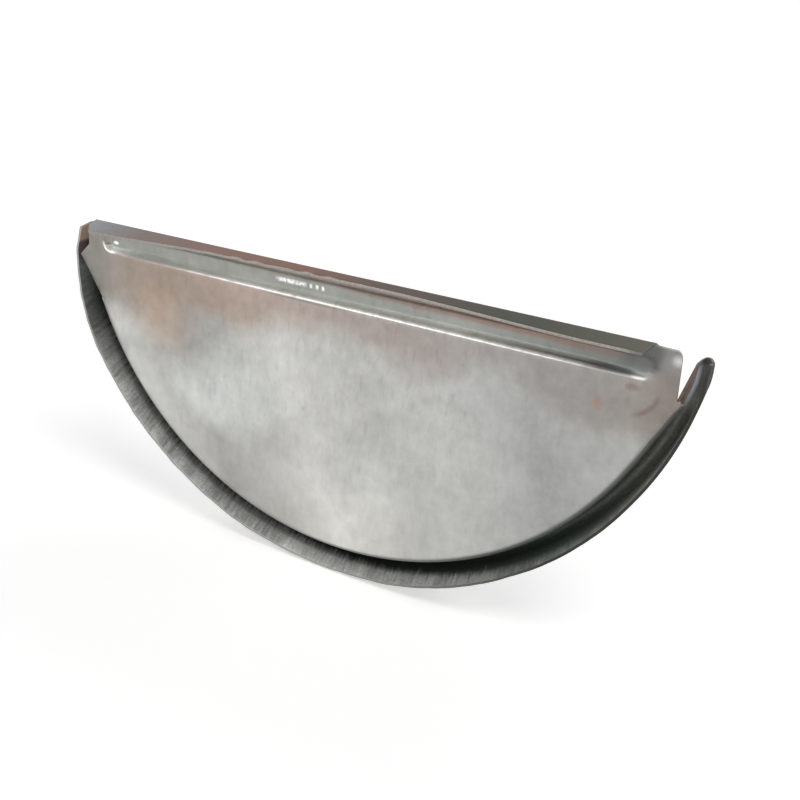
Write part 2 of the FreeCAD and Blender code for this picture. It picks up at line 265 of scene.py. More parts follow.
def rim_tree():
    """Geometry Nodes tree of the rim, with named inputs for its sizes."""
    tree = bpy.data.node_groups.new("rim_sweep", "GeometryNodeTree")
    sockets = (
        ("Columns", "NodeSocketInt", 361),
        ("Rows", "NodeSocketInt", 50),
        ("Flat radius", "NodeSocketFloat", FLAT_RADIUS),
        ("Bend radius", "NodeSocketFloat", SHEET + RIM_BEND),
        ("Wall run", "NodeSocketFloat", WALL_RUN),
        ("Floor radius", "NodeSocketFloat", FLOOR_RADIUS),
        ("Outer run", "NodeSocketFloat", OUTER_RUN),
        ("Lip fall", "NodeSocketFloat", 5.9),
        ("Lip waviness", "NodeSocketFloat", 0.16),
        ("Wall waviness", "NodeSocketFloat", 0.10),
        ("Slot push", "NodeSocketFloat", 2.1),
        ("Finger lean", "NodeSocketFloat", 0.65),
        ("Lip flats", "NodeSocketFloat", 1.0),
        ("Material", "NodeSocketMaterial", None),
    )
    for name, kind, value in sockets:
        socket = tree.interface.new_socket(name, in_out="INPUT", socket_type=kind)
        if value is not None:
            socket.default_value = value
    tree.interface.new_socket("Geometry", in_out="OUTPUT", socket_type="NodeSocketGeometry")
    graph = Graph(tree)
    given = graph.node("NodeGroupInput").outputs
    result = graph.node("NodeGroupOutput")

    grid = graph.node(
        "GeometryNodeMeshGrid",
        {"Size X": 1.0, "Size Y": 1.0, "Vertices X": given["Columns"], "Vertices Y": given["Rows"]},
    )
    place = graph.node("GeometryNodeInputPosition")
    split = graph.node("ShaderNodeSeparateXYZ", {0: place.outputs[0]})
    along = graph.add(split.outputs[0], 0.5)
    across = graph.add(split.outputs[1], 0.5)

    # Section: how much of each row's run lies on the bend, the wall, the floor and outside
    fall = curve_node(graph, along, LIP_FALL)
    outer = graph.take(given["Outer run"], graph.times(fall, given["Lip fall"]))
    bend_run = graph.times(given["Bend radius"], math.pi / 2.0)
    floor_run = graph.times(given["Floor radius"], math.pi)
    floor_start = graph.add(bend_run, given["Wall run"])
    outer_start = graph.add(floor_start, floor_run)
    run = graph.times(across, graph.add(outer_start, outer))

    def stretch(start, length):
        return graph.math("MINIMUM", graph.math("MAXIMUM", graph.take(run, start), 0.0), length)

    def turned_off(angle):
        return graph.take(1.0, graph.math("COSINE", angle))

    on_bend = graph.math("DIVIDE", stretch(0.0, bend_run), given["Bend radius"])
    on_wall = stretch(bend_run, given["Wall run"])
    on_floor = graph.math("DIVIDE", stretch(floor_start, floor_run), given["Floor radius"])
    on_outer = stretch(outer_start, SECTION_RUN)
    radius = graph.add(
        given["Flat radius"],
        graph.times(given["Bend radius"], graph.math("SINE", on_bend)),
        graph.times(given["Floor radius"], turned_off(on_floor)),
    )
    inwards = graph.add(
        graph.times(given["Bend radius"], turned_off(on_bend)),
        on_wall,
        graph.times(given["Floor radius"], graph.math("SINE", on_floor)),
    )
    depth = graph.take(inwards, on_outer)

    # Ends: each row stops at its own height below the axis
    share = graph.math("DIVIDE", run, SECTION_RUN)

    def end_angle(stops):
        height = graph.times(curve_node(graph, share, stops), TRIM_SPAN)
        return graph.math("ARCSINE", graph.math("DIVIDE", height, radius))

    right_angle = end_angle(RIGHT_TRIM)
    left_angle = graph.take(math.pi, end_angle(LEFT_TRIM))
    angle = graph.add(left_angle, graph.times(along, graph.take(right_angle, left_angle)))
    degrees = graph.times(angle, 180.0 / math.pi)

    def uneven(x, y, z, detail, strength):
        noisy = graph.node(
            "ShaderNodeTexNoise",
            {"Vector": graph.point(x, y, z), "Scale": 1.0, "Detail": detail, "Roughness": 0.5},
        )
        # Four times, because the noise keeps within a quarter of its middle
        return graph.times(graph.take(noisy.outputs[0], 0.5), graph.times(strength, 4.0))

    # Hand-formed unevenness, growing from the groove's floor to the lip
    wave = uneven(graph.times(angle, 6.0), graph.times(run, 0.05), 3.7, 2.0, given["Wall waviness"])
    radius = graph.add(radius, graph.times(wave, graph.remap(run, WALL_END, SECTION_RUN)))
    # The plate's edge and the inner wall were pushed outwards where the slot was cut
    push = curve_node(graph, graph.remap(degrees, *PUSH_SPAN), SLOT_PUSH)
    held = graph.remap(run, WALL_END - 1.6, WALL_END + 0.32 * FLOOR_RUN, 1.0, 0.0, smooth=True)
    radius = graph.add(radius, graph.times(push, held, given["Slot push"]))
    leaning = graph.remap(run, WALL_END + 0.6 * FLOOR_RUN, WALL_END + 0.9 * FLOOR_RUN)
    lean = graph.times(graph.remap(degrees, *LEAN_SPAN, smooth=True), leaning, given["Finger lean"])
    radius = graph.take(radius, lean)
    towards_lip = graph.remap(run, FLOOR_END, SECTION_RUN, smooth=True)
    flats = graph.take(curve_node(graph, graph.remap(degrees, *FLAT_SPAN), LIP_FLATS), ROUND_LINE)
    radius = graph.add(radius, graph.times(flats, towards_lip, given["Lip flats"]))
    drawn = graph.times(graph.remap(degrees, *DRAWN_SPAN, 0.0, DRAWN_IN, smooth=True), towards_lip)
    radius = graph.take(radius, drawn)
    nibble = uneven(graph.times(angle, 17.0), 8.1, 1.3, 1.0, given["Lip waviness"])
    depth = graph.add(depth, graph.times(nibble, graph.math("POWER", across, 8.0)))

    turned = graph.point(
        graph.times(radius, graph.math("COSINE", angle)),
        depth,
        graph.times(graph.times(radius, -1.0), graph.math("SINE", angle)),
    )
    # The section's run and the angle stay with the mesh, for the pattern's coordinates
    stored = grid.outputs["Mesh"]
    for name, value in (("run", run), ("turn", angle)):
        keep = graph.node(
            "GeometryNodeStoreNamedAttribute",
            {"Geometry": stored, "Name": name, "Value": value},
            data_type="FLOAT",
        )
        stored = keep.outputs["Geometry"]
    moved = graph.node(
        "GeometryNodeSetPosition", {"Geometry": stored, "Position": graph.scaled(turned, MM)}
    )
    whole = graph.node("GeometryNodeRealizeInstances", {"Geometry": moved.outputs[0]})
    dressed = graph.node(
        "GeometryNodeSetMaterial", {"Geometry": whole.outputs[0], "Material": given["Material"]}
    )
    graph.feed(result.inputs[0], dressed.outputs[0])
    return tree


def build_rim(material):
    """The swept rim as a plain mesh, with its first row on the plate's edge."""
    carrier = bpy.data.objects.new("rim_carrier", bpy.data.meshes.new("rim_carrier"))
    bpy.context.scene.collection.objects.link(carrier)
    tree = rim_tree()
    modifier = carrier.modifiers.new("rim", "NODES")
    modifier.node_group = tree
    for item in tree.interface.items_tree:
        if item.in_out == "INPUT" and item.name == "Material":
            modifier[item.identifier] = material
    evaluated = carrier.evaluated_get(bpy.context.evaluated_depsgraph_get())
    mesh = bpy.data.meshes.new_from_object(evaluated)
    bpy.data.objects.remove(carrier)
    return mesh


# Plate and flange: one flat blank, cut to its outline and then pressed and folded


def smooth(value, low, high):
    share = min(max((value - low) / (high - low), 0.0), 1.0)
    return share * share * (3.0 - 2.0 * share)


def rib_depth(x, z):
    """Depth of the pressed rib at a place of the plate."""
    middle = RIB_END - RIB_HALF
    away = math.hypot(max(abs(x) - middle, 0.0), z + RIB_DROP)
    side = RIB_DEPTH * math.tan(math.radians(RIB_LEAN))
    share = (RIB_HALF - away) / side
    if share <= -RIB_SOFT or away > RIB_HALF + 1.0:
        return 0.0
    rounded = max(share, 0.0) if abs(share) > RIB_SOFT else (share + RIB_SOFT) ** 2 / (4.0 * RIB_SOFT)
    over = rounded - 1.0
    if abs(over) <= RIB_SOFT:
        rounded = 1.0 - (RIB_SOFT - over) ** 2 / (4.0 * RIB_SOFT)
    else:
        rounded = min(rounded, 1.0)
    return RIB_DEPTH * rounded * (1.0 - RIB_FADE * smooth(x, FADE_START, FADE_END))


# Height of the plate's waves, and how many of them fit into a millimetre
WAVE_HEIGHT = 0.35
WAVE_SCALE = 0.035


def plate_wave(x, z):
    """Slight unevenness of the pressed plate, nought at its rim."""
    edge = smooth(FLAT_RADIUS - math.hypot(x, z), 0.0, 14.0) * smooth(-z, 14.0, 24.0)
    return edge * WAVE_HEIGHT * noise.noise(Vector((x * WAVE_SCALE, z * WAVE_SCALE, 2.4)))


def flange_sag(x, reach):
    """Height of the flange's edge at x against a level flange, for a share of its depth."""
    left = -1.25 + 1.75 * smooth(x, -74.0, -22.0) + 0.2 * smooth(x, -22.0, 5.0)
    right = 1.0 * smooth(x, 12.0, 58.0)
    return (left - right) * reach


def edge_ripple(x):
    """Ripple of the flange's raw edge in its left half."""
    envelope = smooth(x, -42.0, -26.0) * (1.0 - smooth(x, -2.0, 14.0))
    return envelope * (0.09 * math.sin(x * 1.0 + 0.6) + 0.07 * math.sin(x * 1.37 + 2.0))


# The fold stands this much higher at the slotted end
FOLD_RISE = 0.17


def press(x, up):
    """Where a point of the flat blank ends up. up counts from where the fold starts."""
    if up <= 0.0:
        z = up - UNDER_FOLD
        return Vector((x, rib_depth(x, z) + plate_wave(x, z), z))
    turn = min(up / FOLD_RADIUS, math.pi / 2.0)
    y = -FOLD_RADIUS + FOLD_RADIUS * math.cos(turn)
    z = -UNDER_FOLD + FOLD_RADIUS * math.sin(turn)
    flat = max(up - FOLD_RUN, 0.0)
    reach = flat / (FLANGE_RUN - FOLD_RUN)
    z += flange_sag(x, reach) + edge_ripple(x) * reach ** 4
    z += FOLD_RISE * smooth(x, -45.0, 45.0) * min(up / FOLD_RUN, 1.0)
    return Vector((x, y - flat, z))


def between(start, end, step):
    """Points from start up to, but not including, end."""
    start, end = Vector(start), Vector(end)
    count = max(int(round((end - start).length / step)), 1)
    return [start.lerp(end, index / count) for index in range(count)]


def corner(centre, radius, first, last, count):
    """Points of a rounded corner, both ends included."""
    points = []
    for index in range(count + 1):
        angle = math.radians(first + (last - first) * index / count)
        points.append(Vector((centre[0] + radius * math.cos(angle), centre[1] + radius * math.sin(angle))))
    return points


def blank_outline(edge_points):
    """Outline of the plate and flange as a flat blank, in x and height above the fold's start."""
    top = UNDER_FOLD
    points = [Vector(place) for place in edge_points]

    def line(*stops):
        """Straight to each place in turn, with points as far apart as its second number says."""
        for place, step in stops:
            points.extend(between(points[-1], place, step)[1:])
            points.append(Vector(place))

    # The slot's foot and its side up to the tab, and the tab's rounded corner
    points += corner((74.05, -15.05 + top), 0.45, -40.0, -170.0, 6)
    line(((73.0, -7.1 + top), 0.5))
    points += corner((71.4, -7.1 + top), 1.6, 0.0, 90.0, 8)[1:]
    # The flange's slotted end and its raw edge
    line(((68.4, -5.35 + top), 0.5), ((67.5, FOLD_RUN), 0.3), ((66.7, FLANGE_RUN - 0.5), 0.5))
    points += corner((66.2, FLANGE_RUN - 0.5), 0.5, 0.0, 90.0, 4)[1:]
    line(((-66.5, FLANGE_RUN), 0.6))
    # The snipped and nicked left corner
    line(
        ((-69.6, FOLD_RUN + 2.6), 0.5),
        ((-69.0, FOLD_RUN + 1.9), 0.4),
        ((-70.2, FOLD_RUN + 1.2), 0.4),
        ((-69.8, FOLD_RUN + 0.5), 0.4),
        ((-70.6, 0.0), 0.4),
    )
    # The ear's line down to the plate's edge
    line(((-73.3, -8.7 + top), 0.4), ((-73.4, -11.7 + top), 0.4), ((-76.4, -14.8 + top), 0.4))
    return points + between(points[-1], edge_points[0], 0.6)[1:]


def inner_points():
    """Places inside the blank where the mesh needs points, closer together at the rib and fold."""
    places = []
    ups = list(np.linspace(0.0, FOLD_RUN, 7)) + list(np.linspace(FOLD_RUN, FLANGE_RUN, 8)[1:-1])
    for up in ups:
        places += [(x, up) for x in np.arange(-69.8, 67.2, 0.6)]
    for z in np.arange(-RIB_DROP - RIB_HALF - 0.3, -RIB_DROP + RIB_HALF + 0.35, 0.2):
        places += [(x, z + UNDER_FOLD) for x in np.arange(-60.0, 60.01, 1.0)]
        for side in (-1.0, 1.0):
            places += [(side * x, z + UNDER_FOLD) for x in np.arange(60.5, 70.2, 0.2)]
    for z in np.arange(-14.0, -74.0, -1.3):
        places += [(x, z + UNDER_FOLD) for x in np.arange(-74.0, 74.0, 1.3)]
    return places


# Inner points nearer to the outline than this are left out
CLEAR_GAP = 0.16


def build_blank(edge):
    """The plate and flange as a mesh whose arc meets the rim's first row."""
    outline = blank_outline([(p.x, p.z + UNDER_FOLD) for p in edge])
    polygon = np.array([tuple(p) for p in outline])
    following = np.roll(polygon, -1, axis=0)
    span = following - polygon
    length = np.maximum((span ** 2).sum(1), 1e-12)
    points = list(outline)
    for x, up in inner_points():
        rel = np.array((x, up)) - polygon
        t = np.clip((rel * span).sum(1) / length, 0.0, 1.0)
        gap = np.sqrt(((rel - span * t[:, None]) ** 2).sum(1)).min()
        crosses = (polygon[:, 1] > up) != (following[:, 1] > up)
        at = polygon[:, 0] + (up - polygon[:, 1]) * span[:, 0] / np.where(crosses, span[:, 1], 1.0)
        if gap > CLEAR_GAP and (crosses & (x < at)).sum() % 2 == 1:
            points.append(Vector((x, up)))
    count = len(outline)
    ring = [(index, (index + 1) % count) for index in range(count)]
    verts, _, faces, *_ = geometry.delaunay_2d_cdt(points, ring, [list(range(count))], 1, 1e-6)
    mesh = bpy.data.meshes.new("blank")
    mesh.from_pydata([press(v.x, v.y) * MM for v in verts], [], [list(f) for f in faces])
    return mesh


def rim_edge(mesh):
    """The rim's first row from left to right, in millimetres."""
    runs = mesh.attributes["run"].data
    first = [v.co / MM for v, r in zip(mesh.vertices, runs) if r.value < 1e-6]
    return sorted(first, key=lambda p: math.atan2(-p.x, -p.z), reverse=True)


# The cap's material slots: inner faces first, the same faces' outer sides, then the cut edges
SLOT_MATERIALS = ("plate", "rim", "outer", "outer", "cut", "cut")
RIM_SLOT = 1
OUTER_SHIFT = 2
CUT_SHIFT = 4
# In metres: how close points are to be joined, and the softened corners of the cut edges
JOIN_GAP = 2e-6
CORNER_WIDTH = 0.10 * MM
CORNER_ANGLE = 55.0


def build_cap(materials):
    """The whole cap: rim and blank joined, given the sheet's thickness and softened edges."""
    rim = build_rim(materials["rim"])
    shape = bmesh.new()
    shape.from_mesh(build_blank(rim_edge(rim)))
    for name in ("run", "turn"):
        shape.verts.layers.float.new(name)
    bound = len(shape.verts)
    shape.from_mesh(rim)
    shape.verts.ensure_lookup_table()
    shape.faces.ensure_lookup_table()
    for face in shape.faces:
        face.smooth = True
        if all(v.index >= bound for v in face.verts):
            face.material_index = RIM_SLOT
    bmesh.ops.remove_doubles(shape, verts=shape.verts, dist=JOIN_GAP)
    bmesh.ops.recalc_face_normals(shape, faces=shape.faces)
    middle = min(shape.faces, key=lambda f: (f.calc_center_median() - Vector((0.0, 0.0, -0.04))).length)
    if middle.normal.y > 0.0:
        bmesh.ops.reverse_faces(shape, faces=shape.faces)
    mesh = bpy.data.meshes.new("end_cap_sheet")
    shape.to_mesh(mesh)
    shape.free()
    cap = bpy.data.objects.new("end_cap_sheet", mesh)
    bpy.context.scene.collection.objects.link(cap)
    for name in SLOT_MATERIALS:
        mesh.materials.append(materials[name])
    thick = cap.modifiers.new("sheet", "SOLIDIFY")
    thick.thickness = SHEET * MM
    thick.offset = -1.0
    thick.use_even_offset = True
    thick.material_offset = OUTER_SHIFT
    thick.material_offset_rim = CUT_SHIFT
    edges = cap.modifiers.new("cut_edges", "BEVEL")
    edges.width = CORNER_WIDTH
    edges.segments = 2
    edges.limit_method = "ANGLE"
    edges.angle_limit = math.radians(CORNER_ANGLE)
    edges.harden_normals = False
    edges.material = CUT_SHIFT
    return cap


# Materials. Places are in millimetres: x towards the slotted side, y out of the gutter, z up


Place = namedtuple("Place", "vector x y z")

# Height in metres of the relief that a surface's noise stands for
RELIEF = 0.0003
# Mirroring of what lies dull on the metal
DULL_SPECULAR = 0.12


def empty_graph(holder):
    """The holder's node tree, cleared."""
    holder.use_nodes = True
    holder.node_tree.nodes.clear()
    return Graph(holder.node_tree)


def start_material(name, metallic=1.0):
    material = bpy.data.materials.new(name)
    graph = empty_graph(material)
    shader = graph.node("ShaderNodeBsdfPrincipled", {"Metallic": metallic})
    graph.node("ShaderNodeOutputMaterial", {0: shader.outputs[0]})
    return material, graph, shader


def end_material(graph, shader, base, rough, strength, height, relief=RELIEF):
    """Feeds the shader its colour, its roughness and a relief from the height."""
    bump = graph.node("ShaderNodeBump", {"Strength": strength, "Distance": relief, "Height": height})
    graph.feed(shader.inputs["Base Color"], base)
    graph.feed(shader.inputs["Roughness"], rough)
    graph.feed(shader.inputs["Normal"], bump.outputs[0])


def place_mm(graph):
    """Object coordinates in millimetres, whole and split."""
    vector = graph.scaled(graph.node("ShaderNodeTexCoord").outputs["Object"], 1.0 / MM)
    split = graph.node("ShaderNodeSeparateXYZ", {0: vector}).outputs
    return Place(vector, split[0], split[1], split[2])


def kept_value(graph, name):
    """A value that the rim's mesh brought along."""
    return graph.node("ShaderNodeAttribute", attribute_name=name).outputs["Fac"]


def off_axis(graph, at):
    """Distance from the gutter's axis."""
    return graph.distance(graph.point(at.x, 0.0, at.z), (0.0, 0.0, 0.0))


def noise_at(graph, vector, scale, detail=2.0, roughness=0.5, stretch=(1.0, 1.0, 1.0)):
    moved = graph.node("ShaderNodeMapping", {"Vector": vector, "Scale": stretch})
    made = graph.node(
        "ShaderNodeTexNoise",
        {"Vector": moved.outputs[0], "Scale": scale, "Detail": detail, "Roughness": roughness},
    )
    return made.outputs[0]


def spangle(graph, vector):
    """The zinc's crystals as values from nought to one, with soft borders."""
    bent = graph.node("ShaderNodeTexNoise", {"Vector": vector, "Scale": 0.22, "Detail": 2.0})
    shift = graph.scaled(bent.outputs[1], 5.0)
    moved = graph.node("ShaderNodeVectorMath", {0: vector, 1: shift}, operation="ADD")
    squeezed = graph.node("ShaderNodeMapping", {"Vector": moved.outputs[0], "Scale": (1.0, 1.0, 0.72)})
    cells = graph.node(
        "ShaderNodeTexVoronoi",
        {"Vector": squeezed.outputs[0], "Scale": 0.16, "Smoothness": 1.0},
        feature="SMOOTH_F1",
    )
    return graph.node("ShaderNodeSeparateColor", {0: cells.outputs["Color"]}).outputs[0]


def tone_along(graph, x, stops):
    """Colour that follows x through the stops, each given in millimetres."""
    low, high = stops[0][0], stops[-1][0]
    ramp = graph.node("ShaderNodeValToRGB", {0: graph.remap(x, low, high)})
    ramp.color_ramp.elements[0].color = (*stops[0][1], 1.0)
    ramp.color_ramp.elements[1].color = (*stops[-1][1], 1.0)
    for place, colour in stops[1:-1]:
        ramp.color_ramp.elements.new((place - low) / (high - low)).color = (*colour, 1.0)
    return ramp.outputs[0]


def spot(graph, vector, centre, ragged, near, far, strength=1.0):
    """A spot round the centre: full within near, nought beyond far, with a ragged border."""
    away = graph.add(graph.distance(vector, centre), ragged)
    return graph.remap(away, near, far, strength, 0.0, smooth=True)


# Grey of the bare zinc across the plate, from left to right, in lighter and darker slanting bands that are
# painted reflection
GREY_STOPS = (
    (-64.0, (0.58, 0.578, 0.552)),
    (-54.0, (0.51, 0.508, 0.485)),
    (-42.0, (0.355, 0.351, 0.336)),
    (-27.0, (0.42, 0.415, 0.396)),
    (-11.0, (0.60, 0.597, 0.573)),
    (8.0, (0.475, 0.473, 0.453)),
    (24.0, (0.515, 0.515, 0.495)),
    (38.0, (0.465, 0.47, 0.452)),
    (50.0, (0.362, 0.367, 0.352)),
    (64.0, (0.41, 0.415, 0.398)),
)
# Painted warm brown reflection under the rib, grey at its left end and duller towards the slot
WARM_REFLECTION_STOPS = (
    (-76.0, (0.20, 0.196, 0.178)),
    (-70.5, (0.225, 0.21, 0.188)),
    (-67.0, (0.29, 0.256, 0.228)),
    (-60.0, (0.30, 0.245, 0.20)),
    (-30.0, (0.385, 0.30, 0.25)),
    (-12.0, (0.395, 0.328, 0.292)),
    (14.0, (0.35, 0.308, 0.286)),
    (38.0, (0.35, 0.326, 0.312)),
    (52.0, (0.29, 0.275, 0.265)),
    (66.0, (0.285, 0.262, 0.24)),
    (73.0, (0.225, 0.19, 0.17)),
)
# Painted shade and brown reflection in the strip between the rib and the fold, browner to the right
STRIP_STOPS = (
    (-64.0, (0.30, 0.305, 0.295)),
    (-34.0, (0.33, 0.305, 0.28)),
    (-8.0, (0.29, 0.235, 0.205)),
    (18.0, (0.27, 0.20, 0.17)),
    (45.0, (0.26, 0.175, 0.14)),
    (66.0, (0.17, 0.15, 0.135)),
)


def plate_ground(graph, at, cloud):
    """Bare grey zinc in slanting bands of painted reflection, the painted brown reflection above it and a
    brighter warm patch in that reflection.
    """
    slant = graph.add(at.x, graph.times(at.z, 0.35), graph.times(cloud, 16.0), 5.0)
    grey = tone_along(graph, slant, GREY_STOPS)
    # Height of the painted reflection's lower border, with a dip and a rise near the middle
    border = graph.add(
        graph.remap(at.x, -60.0, -10.0, -26.5, -18.0),
        graph.remap(at.x, 42.0, 58.0, 0.0, -7.0),
        graph.times(graph.remap(at.x, 3.0, 12.0, 0.0, -3.5), graph.remap(at.x, 34.0, 20.0)),
        graph.times(graph.remap(at.x, -24.0, -14.0, 0.0, 2.5), graph.remap(at.x, 2.0, -5.0)),
    )
    above = graph.add(graph.take(at.z, border), graph.spread(cloud, -4.0, 4.0))
    # Painted warm reflection laid over the grey zinc
    warm_reflection = graph.times(graph.remap(above, -5.0, 4.0, smooth=True), 0.92)
    base = graph.blend(warm_reflection, grey, tone_along(graph, at.x, WARM_REFLECTION_STOPS))
    # A brighter warm patch of the painted reflection
    glow = spot(graph, at.vector, (-51.0, 0.0, -27.0), graph.times(cloud, 8.0), 3.0, 17.0)
    return graph.blend(graph.times(glow, 0.55), base, (0.44, 0.30, 0.215))


def rib_shading(graph, at, base, pressed, cloud):
    """Grey-green hollow of the rib, darker to the right, with a painted highlight on its lower side, painted
    shade in its crease, at its right end and under its edge, and painted shade with a brown reflection in the
    strip above it.
    """
    inside = graph.times(graph.remap(pressed, 0.30, 1.2, smooth=True), 0.92)
    darker = graph.remap(at.x, 25.0, 66.0, smooth=True)
    base = graph.blend(inside, base, graph.blend(darker, (0.305, 0.315, 0.292), (0.18, 0.19, 0.18)))
    # Painted highlight on the rib's lower side, fading towards the right
    lower_side = graph.band(pressed, 0.15, 0.5, 1.26, 1.52)
    lower_side = graph.times(lower_side, graph.remap(at.z, -10.9, -11.3, smooth=True))
    lit = graph.blend(graph.remap(at.x, 20.0, 62.0), (0.78, 0.82, 0.78), (0.30, 0.31, 0.30))
    base = graph.blend(lower_side, base, lit)
    # Painted shade on the lower slope near the rib's right end
    slope = graph.times(
        graph.remap(pressed, 0.05, 0.3),
        graph.remap(at.z, -11.2, -11.6),
        graph.band(at.x, 54.0, 60.0, 63.6, 65.4, smooth=True),
        0.75,
    )
    base = graph.blend(slope, base, (0.13, 0.135, 0.13))
    # The flange's underside painted light, so that the rib's lower side, which mirrors it, looks bright
    underside = graph.remap(at.y, -0.9, -1.6)
    base = graph.blend(underside, base, (0.72, 0.73, 0.71))
    on_front = graph.remap(at.y, -0.5, -0.1)
    # Painted shade and brown reflection in the strip just under the flange's raw edge
    strip_low = graph.add(graph.remap(at.x, -50.0, 45.0, -8.6, -9.9), graph.spread(cloud, -0.5, 0.5))
    strip = graph.remap(graph.take(at.z, strip_low), -0.5, 0.6, smooth=True)
    base = graph.blend(graph.times(strip, on_front, 0.85), base, tone_along(graph, at.x, STRIP_STOPS))
    # Painted shade in the crease between the rib's floor and its lower side, on the right
    crease = graph.times(
        graph.band(pressed, 0.62, 0.72, 0.88, 1.0),
        graph.remap(at.z, -11.3, -11.6),
        graph.band(at.x, 38.0, 52.0, 62.0, 66.0),
        0.7,
    )
    base = graph.blend(crease, base, (0.15, 0.16, 0.15))
    # Painted shade as a thin dark line just under the rib's lower edge
    under = graph.times(
        graph.band(at.z, -13.6, -13.35, -13.1, -12.9),
        graph.remap(at.y, 0.12, 0.06),
        graph.band(at.x, -24.0, -14.0, -4.0, 4.0),
        0.6,
    )
    return graph.blend(under, base, (0.20, 0.19, 0.18))


def tab_shading(graph, at, base, fine):
    """Painted shade between the flange's end and the tab, and a painted highlight on the tab's corner."""
    # Painted shade between the flange's end and the tab
    tab = graph.times(
        graph.remap(at.x, 60.5, 64.0, smooth=True), graph.remap(at.z, -11.8, -9.4, smooth=True), 0.92
    )
    outwards = graph.remap(at.x, 68.3, 71.0, smooth=True)
    base = graph.blend(tab, base, graph.blend(outwards, (0.135, 0.14, 0.135), (0.25, 0.245, 0.235)))
    # Painted highlight on the tab's rounded corner
    shine = spot(graph, at.vector, (72.5, 0.0, -7.5), graph.times(fine, 1.6), 0.6, 2.6, 0.85)
    return graph.blend(shine, base, (0.68, 0.70, 0.70))


def highlights_and_flecks(graph, at, pressed):
    """Share of painted highlight along the rib's lower edge, at both its ends and in a spot in its left end,
    with bright flecks above the edge.
    """
    lively = noise_at(graph, at.vector, 0.42, 1.5, 0.5, (1.0, 0.0, 0.0))
    along = graph.add(
        graph.remap(at.x, -62.0, -18.0, 0.12, 1.0, smooth=True),
        graph.remap(at.x, 14.0, 48.0, 0.0, -0.40),
        graph.remap(at.x, 48.0, 58.0, 0.0, -0.45),
    )
    edge = graph.times(
        graph.band(pressed, 0.0, 0.10, 0.34, 0.62), graph.band(at.z, -13.5, -13.1, -11.8, -11.4)
    )
    # Painted highlight along the rib's lower edge
    line = graph.times(
        edge, along, graph.remap(lively, 0.3, 0.55, 0.55, 1.0), graph.remap(at.x, 66.2, 67.2, 1.0, 0.0)
    )
    # Painted highlight round the rib's left end
    left_bow = graph.times(
        graph.band(at.y, 0.04, 0.14, 0.28, 0.45),
        graph.remap(at.x, -64.9, -66.2),
        graph.remap(at.z, -10.0, -11.4),
    )
    # Painted highlight at the rib's right end
    right_bow = graph.times(edge, graph.band(at.x, 63.2, 65.2, 66.2, 67.6, smooth=True), 0.5)
    grain = noise_at(graph, at.vector, 1.3, 2.0, 0.6)
    long_dash = graph.times(
        graph.band(at.x, -19.0, -17.6, -10.9, -10.2), graph.remap(grain, 0.38, 0.58, 0.25, 1.0)
    )
    specks = graph.times(
        graph.band(at.x, -10.4, -10.0, -6.0, -5.6),
        graph.remap(graph.math("SINE", graph.times(at.x, 3.9)), -0.1, 0.5),
        graph.remap(grain, 0.36, 0.52, 0.35, 1.0),
    )
    flecks = graph.times(graph.most(long_dash, specks), graph.band(at.z, -10.6, -10.1, -9.75, -9.25))
    # Painted highlight spot inside the rib's left end
    squashed = graph.point(at.x, 0.0, graph.times(at.z, 1.9))
    dot = graph.remap(graph.distance(squashed, (-66.0, 0.0, -19.8)), 1.0, 0.5)
    return graph.most(line, left_bow, flecks, graph.times(dot, graph.remap(at.y, 0.6, 0.9)), right_bow)


def stains_and_edge_shade(graph, at, base, radius, fine):
    """Painted shade on the rolled edge at the lower right, and reddish and rusty stains near the tab."""
    # Painted shade where the plate's edge rolls away on the lower right
    rolled = graph.times(
        graph.remap(radius, 73.5, 74.5, smooth=True),
        graph.remap(at.x, 0.0, 40.0, smooth=True),
        graph.remap(at.z, -21.0, -32.0, smooth=True),
        0.85,
    )
    base = graph.blend(rolled, base, (0.10, 0.105, 0.095))
    widened = graph.point(graph.times(at.x, 0.55), 0.0, at.z)
    red = spot(graph, widened, (35.8, 0.0, -14.6), fine, 0.7, 1.7)
    reach = graph.distance(at.vector, (64.0, 0.0, -14.6))
    ring = graph.math("ABSOLUTE", graph.take(reach, graph.add(graph.times(fine, 0.6), 5.9)))
    smear = graph.times(
        graph.remap(ring, 0.15, 0.8, 1.0, 0.0),
        graph.remap(at.x, 65.5, 67.5),
        graph.remap(at.z, -15.0, -16.4),
    )
    base = graph.blend(graph.times(graph.most(red, smear), 0.42), base, (0.15, 0.085, 0.075))
    rust = spot(graph, at.vector, (58.8, 0.0, -19.7), fine, 0.8, 2.4, 0.55)
    return graph.blend(rust, base, (0.36, 0.235, 0.165))


def plate_tone(graph, at, radius, crystal, fine):
    """Tone about one: crystals, blotches, mottle and upright strokes, with a lighter painted reflection near
    the lower left edge.
    """
    mottle = noise_at(graph, at.vector, 0.42, 3.0, 0.62, (1.0, 1.0, 0.7))
    strokes = noise_at(graph, at.vector, 0.75, 2.0, 0.6, (1.0, 1.0, 0.32))
    blotch = noise_at(graph, at.vector, 0.13, 3.0, 0.6, (1.0, 1.0, 1.4))
    # Painted reflection, lighter near the lower left edge
    lower_left_reflection = graph.times(
        graph.remap(radius, 53.0, 62.0, smooth=True),
        graph.remap(at.x, 28.0, 12.0, smooth=True),
        graph.remap(at.z, -36.0, -48.0),
        0.15,
    )
    stroked = graph.times(
        graph.remap(at.z, -68.0, -34.0, 0.25, 1.0),
        graph.remap(at.x, -60.0, -20.0, 0.3, 1.0),
        graph.remap(at.x, 62.0, 30.0, 0.2, 1.0),
        graph.remap(strokes, 0.56, 0.70, 0.0, -0.10),
    )
    return graph.add(
        graph.remap(crystal, 0.0, 1.0, 0.94, 1.04),
        graph.spread(fine, -0.03, 0.03),
        graph.spread(blotch, -0.06, 0.06),
        graph.spread(mottle, -0.07, 0.07),
        lower_left_reflection,
        stroked,
    )


